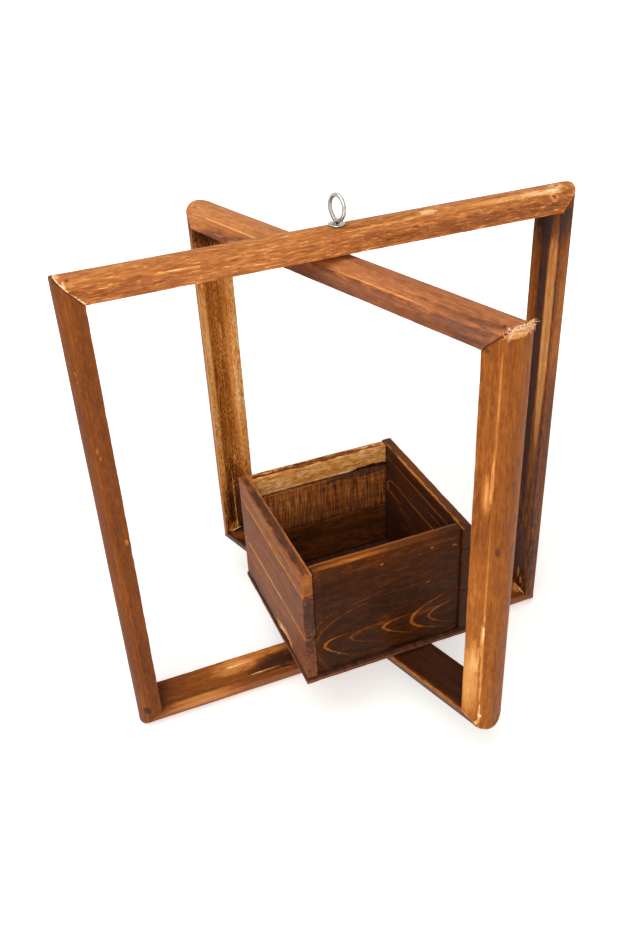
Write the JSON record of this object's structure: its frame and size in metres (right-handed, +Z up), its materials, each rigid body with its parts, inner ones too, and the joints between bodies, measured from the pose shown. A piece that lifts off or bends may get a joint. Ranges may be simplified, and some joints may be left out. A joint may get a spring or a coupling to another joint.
{
  "type": "hanging planter",
  "caption": "Hanging wooden planter: a square plank box inside crossing mitred frames, the inner frame swivelling about an upright axis, hung from a screw eye.",
  "frame": {"origin": "where a hook bears in the screw eye: the inside top of its ring, on the axis that the inner frame swivels about", "axes": "+Z up along the swivel's axis, X along the outer frame's width, -Y towards the box's one-board front wall"},
  "size_m": [0.406, 0.343, 0.4432],
  "materials": {
    "outer_frame_wood": "torched and oiled, reddish brown, worn in places",
    "inner_frame_wood": "torched and oiled, lighter golden brown",
    "side_wall_wood": "rough sawn, torched dark",
    "back_wall_wood": "rough sawn, torched, yellow brown",
    "front_wall_wood": "torched almost black brown, smooth",
    "base_board_wood": "thin board, torched dark",
    "spacer_wood": "plain sawn",
    "bright_zinc": "bright zinc plate",
    "brad_steel": "plain steel, heads set below the surface"
  },
  "bodies": {
    "outer_frame_and_box": {"outer_top_rail": "outer_frame_wood", "outer_right_leg": "outer_frame_wood", "outer_bottom_rail": "outer_frame_wood", "outer_left_leg": "outer_frame_wood", "left_wall_board_1": "side_wall_wood", "left_wall_board_2": "side_wall_wood", "left_wall_board_3": "side_wall_wood", "right_wall_board_1": "side_wall_wood", "right_wall_board_2": "side_wall_wood", "right_wall_board_3": "side_wall_wood", "back_wall_board_1": "back_wall_wood", "back_wall_board_2": "back_wall_wood", "back_wall_board_3": "back_wall_wood", "front_wall_board": "front_wall_wood", "base_board": "base_board_wood", "rail_spacer": "spacer_wood", "screw_eye": "bright_zinc", "eye_washer": "bright_zinc", "base_screw": "bright_zinc", "outer_top_rail_brad_right_1": "brad_steel", "outer_top_rail_brad_right_2": "brad_steel", "outer_top_rail_brad_left_1": "brad_steel", "outer_top_rail_brad_left_2": "brad_steel", "outer_bottom_rail_brad_right_1": "brad_steel", "outer_bottom_rail_brad_right_2": "brad_steel", "outer_bottom_rail_brad_left_1": "brad_steel", "outer_bottom_rail_brad_left_2": "brad_steel", "left_wall_brad_front_1": "brad_steel", "left_wall_brad_front_2": "brad_steel", "left_wall_brad_front_3": "brad_steel", "left_wall_brad_back_1": "brad_steel", "left_wall_brad_back_2": "brad_steel", "left_wall_brad_back_3": "brad_steel", "right_wall_brad_front_1": "brad_steel", "right_wall_brad_front_2": "brad_steel", "right_wall_brad_front_3": "brad_steel", "right_wall_brad_back_1": "brad_steel", "right_wall_brad_back_2": "brad_steel", "right_wall_brad_back_3": "brad_steel", "base_brad_left_front": "brad_steel", "base_brad_left_back": "brad_steel", "base_brad_right_front": "brad_steel", "base_brad_right_back": "brad_steel"},
    "inner_frame": {"inner_top_rail": "inner_frame_wood", "inner_front_leg": "inner_frame_wood", "inner_bottom_rail": "inner_frame_wood", "inner_back_leg": "inner_frame_wood", "inner_top_rail_brad_front_1": "brad_steel", "inner_top_rail_brad_front_2": "brad_steel", "inner_top_rail_brad_back_1": "brad_steel", "inner_top_rail_brad_back_2": "brad_steel", "inner_bottom_rail_brad_front_1": "brad_steel", "inner_bottom_rail_brad_front_2": "brad_steel", "inner_bottom_rail_brad_back_1": "brad_steel", "inner_bottom_rail_brad_back_2": "brad_steel"}
  },
  "joints": [
    {"name": "inner_frame_swivel", "type": "hinge", "parent": "outer_frame_and_box", "child": "inner_frame", "pos_m": [0, 0, -0.2], "axis": [0, 0, 1], "range_deg": [-108, 72]}
  ]
}
